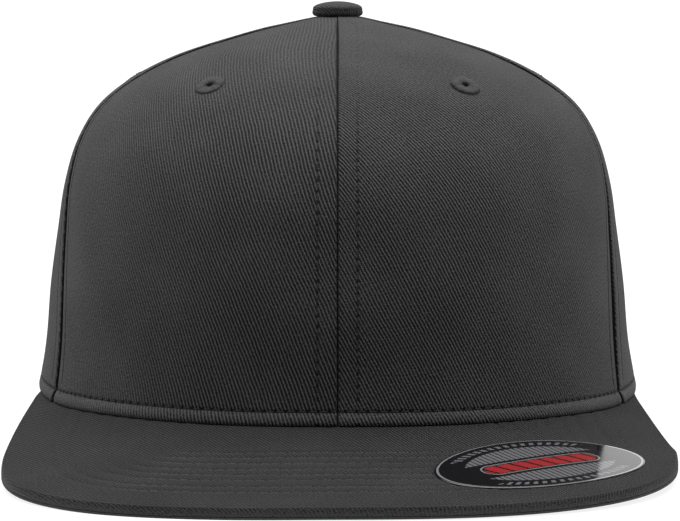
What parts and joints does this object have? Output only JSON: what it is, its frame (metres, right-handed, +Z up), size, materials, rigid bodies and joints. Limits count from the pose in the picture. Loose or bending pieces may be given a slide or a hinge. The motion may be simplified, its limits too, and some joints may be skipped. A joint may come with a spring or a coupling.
{
  "type": "fitted flat brim cap",
  "caption": "Fitted cap with a high structured panelled crown, a flat stitched brim, a button, eyelets and an oval sticker, worn to shade the face.",
  "frame": {"origin": "middle of the cap's box in plan, on the surface that the cap rests on", "axes": "+X to the wearer's left, +Y to the back of the head with the brim forward at -Y, +Z up; the cap lies as it rests, on its brim and its back hem"},
  "size_m": [0.1798, 0.2722, 0.1153],
  "materials": {
    "crown_twill": "matte twill",
    "brim_twill": "matte twill",
    "button_twill": "matte twill",
    "eyelet_thread": "satin thread",
    "sweatband_cloth": "matte",
    "sticker_foil": "gloss"
  },
  "bodies": {
    "root": {"front_left_panel": "crown_twill", "side_left_panel": "crown_twill", "back_left_panel": "crown_twill", "front_right_panel": "crown_twill", "side_right_panel": "crown_twill", "back_right_panel": "crown_twill", "front_left_eyelet": "eyelet_thread", "side_left_eyelet": "eyelet_thread", "back_left_eyelet": "eyelet_thread", "front_right_eyelet": "eyelet_thread", "side_right_eyelet": "eyelet_thread", "back_right_eyelet": "eyelet_thread", "button": "button_twill", "brim": "brim_twill", "brim_underside": "brim_twill", "sweatband": "sweatband_cloth", "size_sticker": "sticker_foil"}
  },
  "joints": []
}
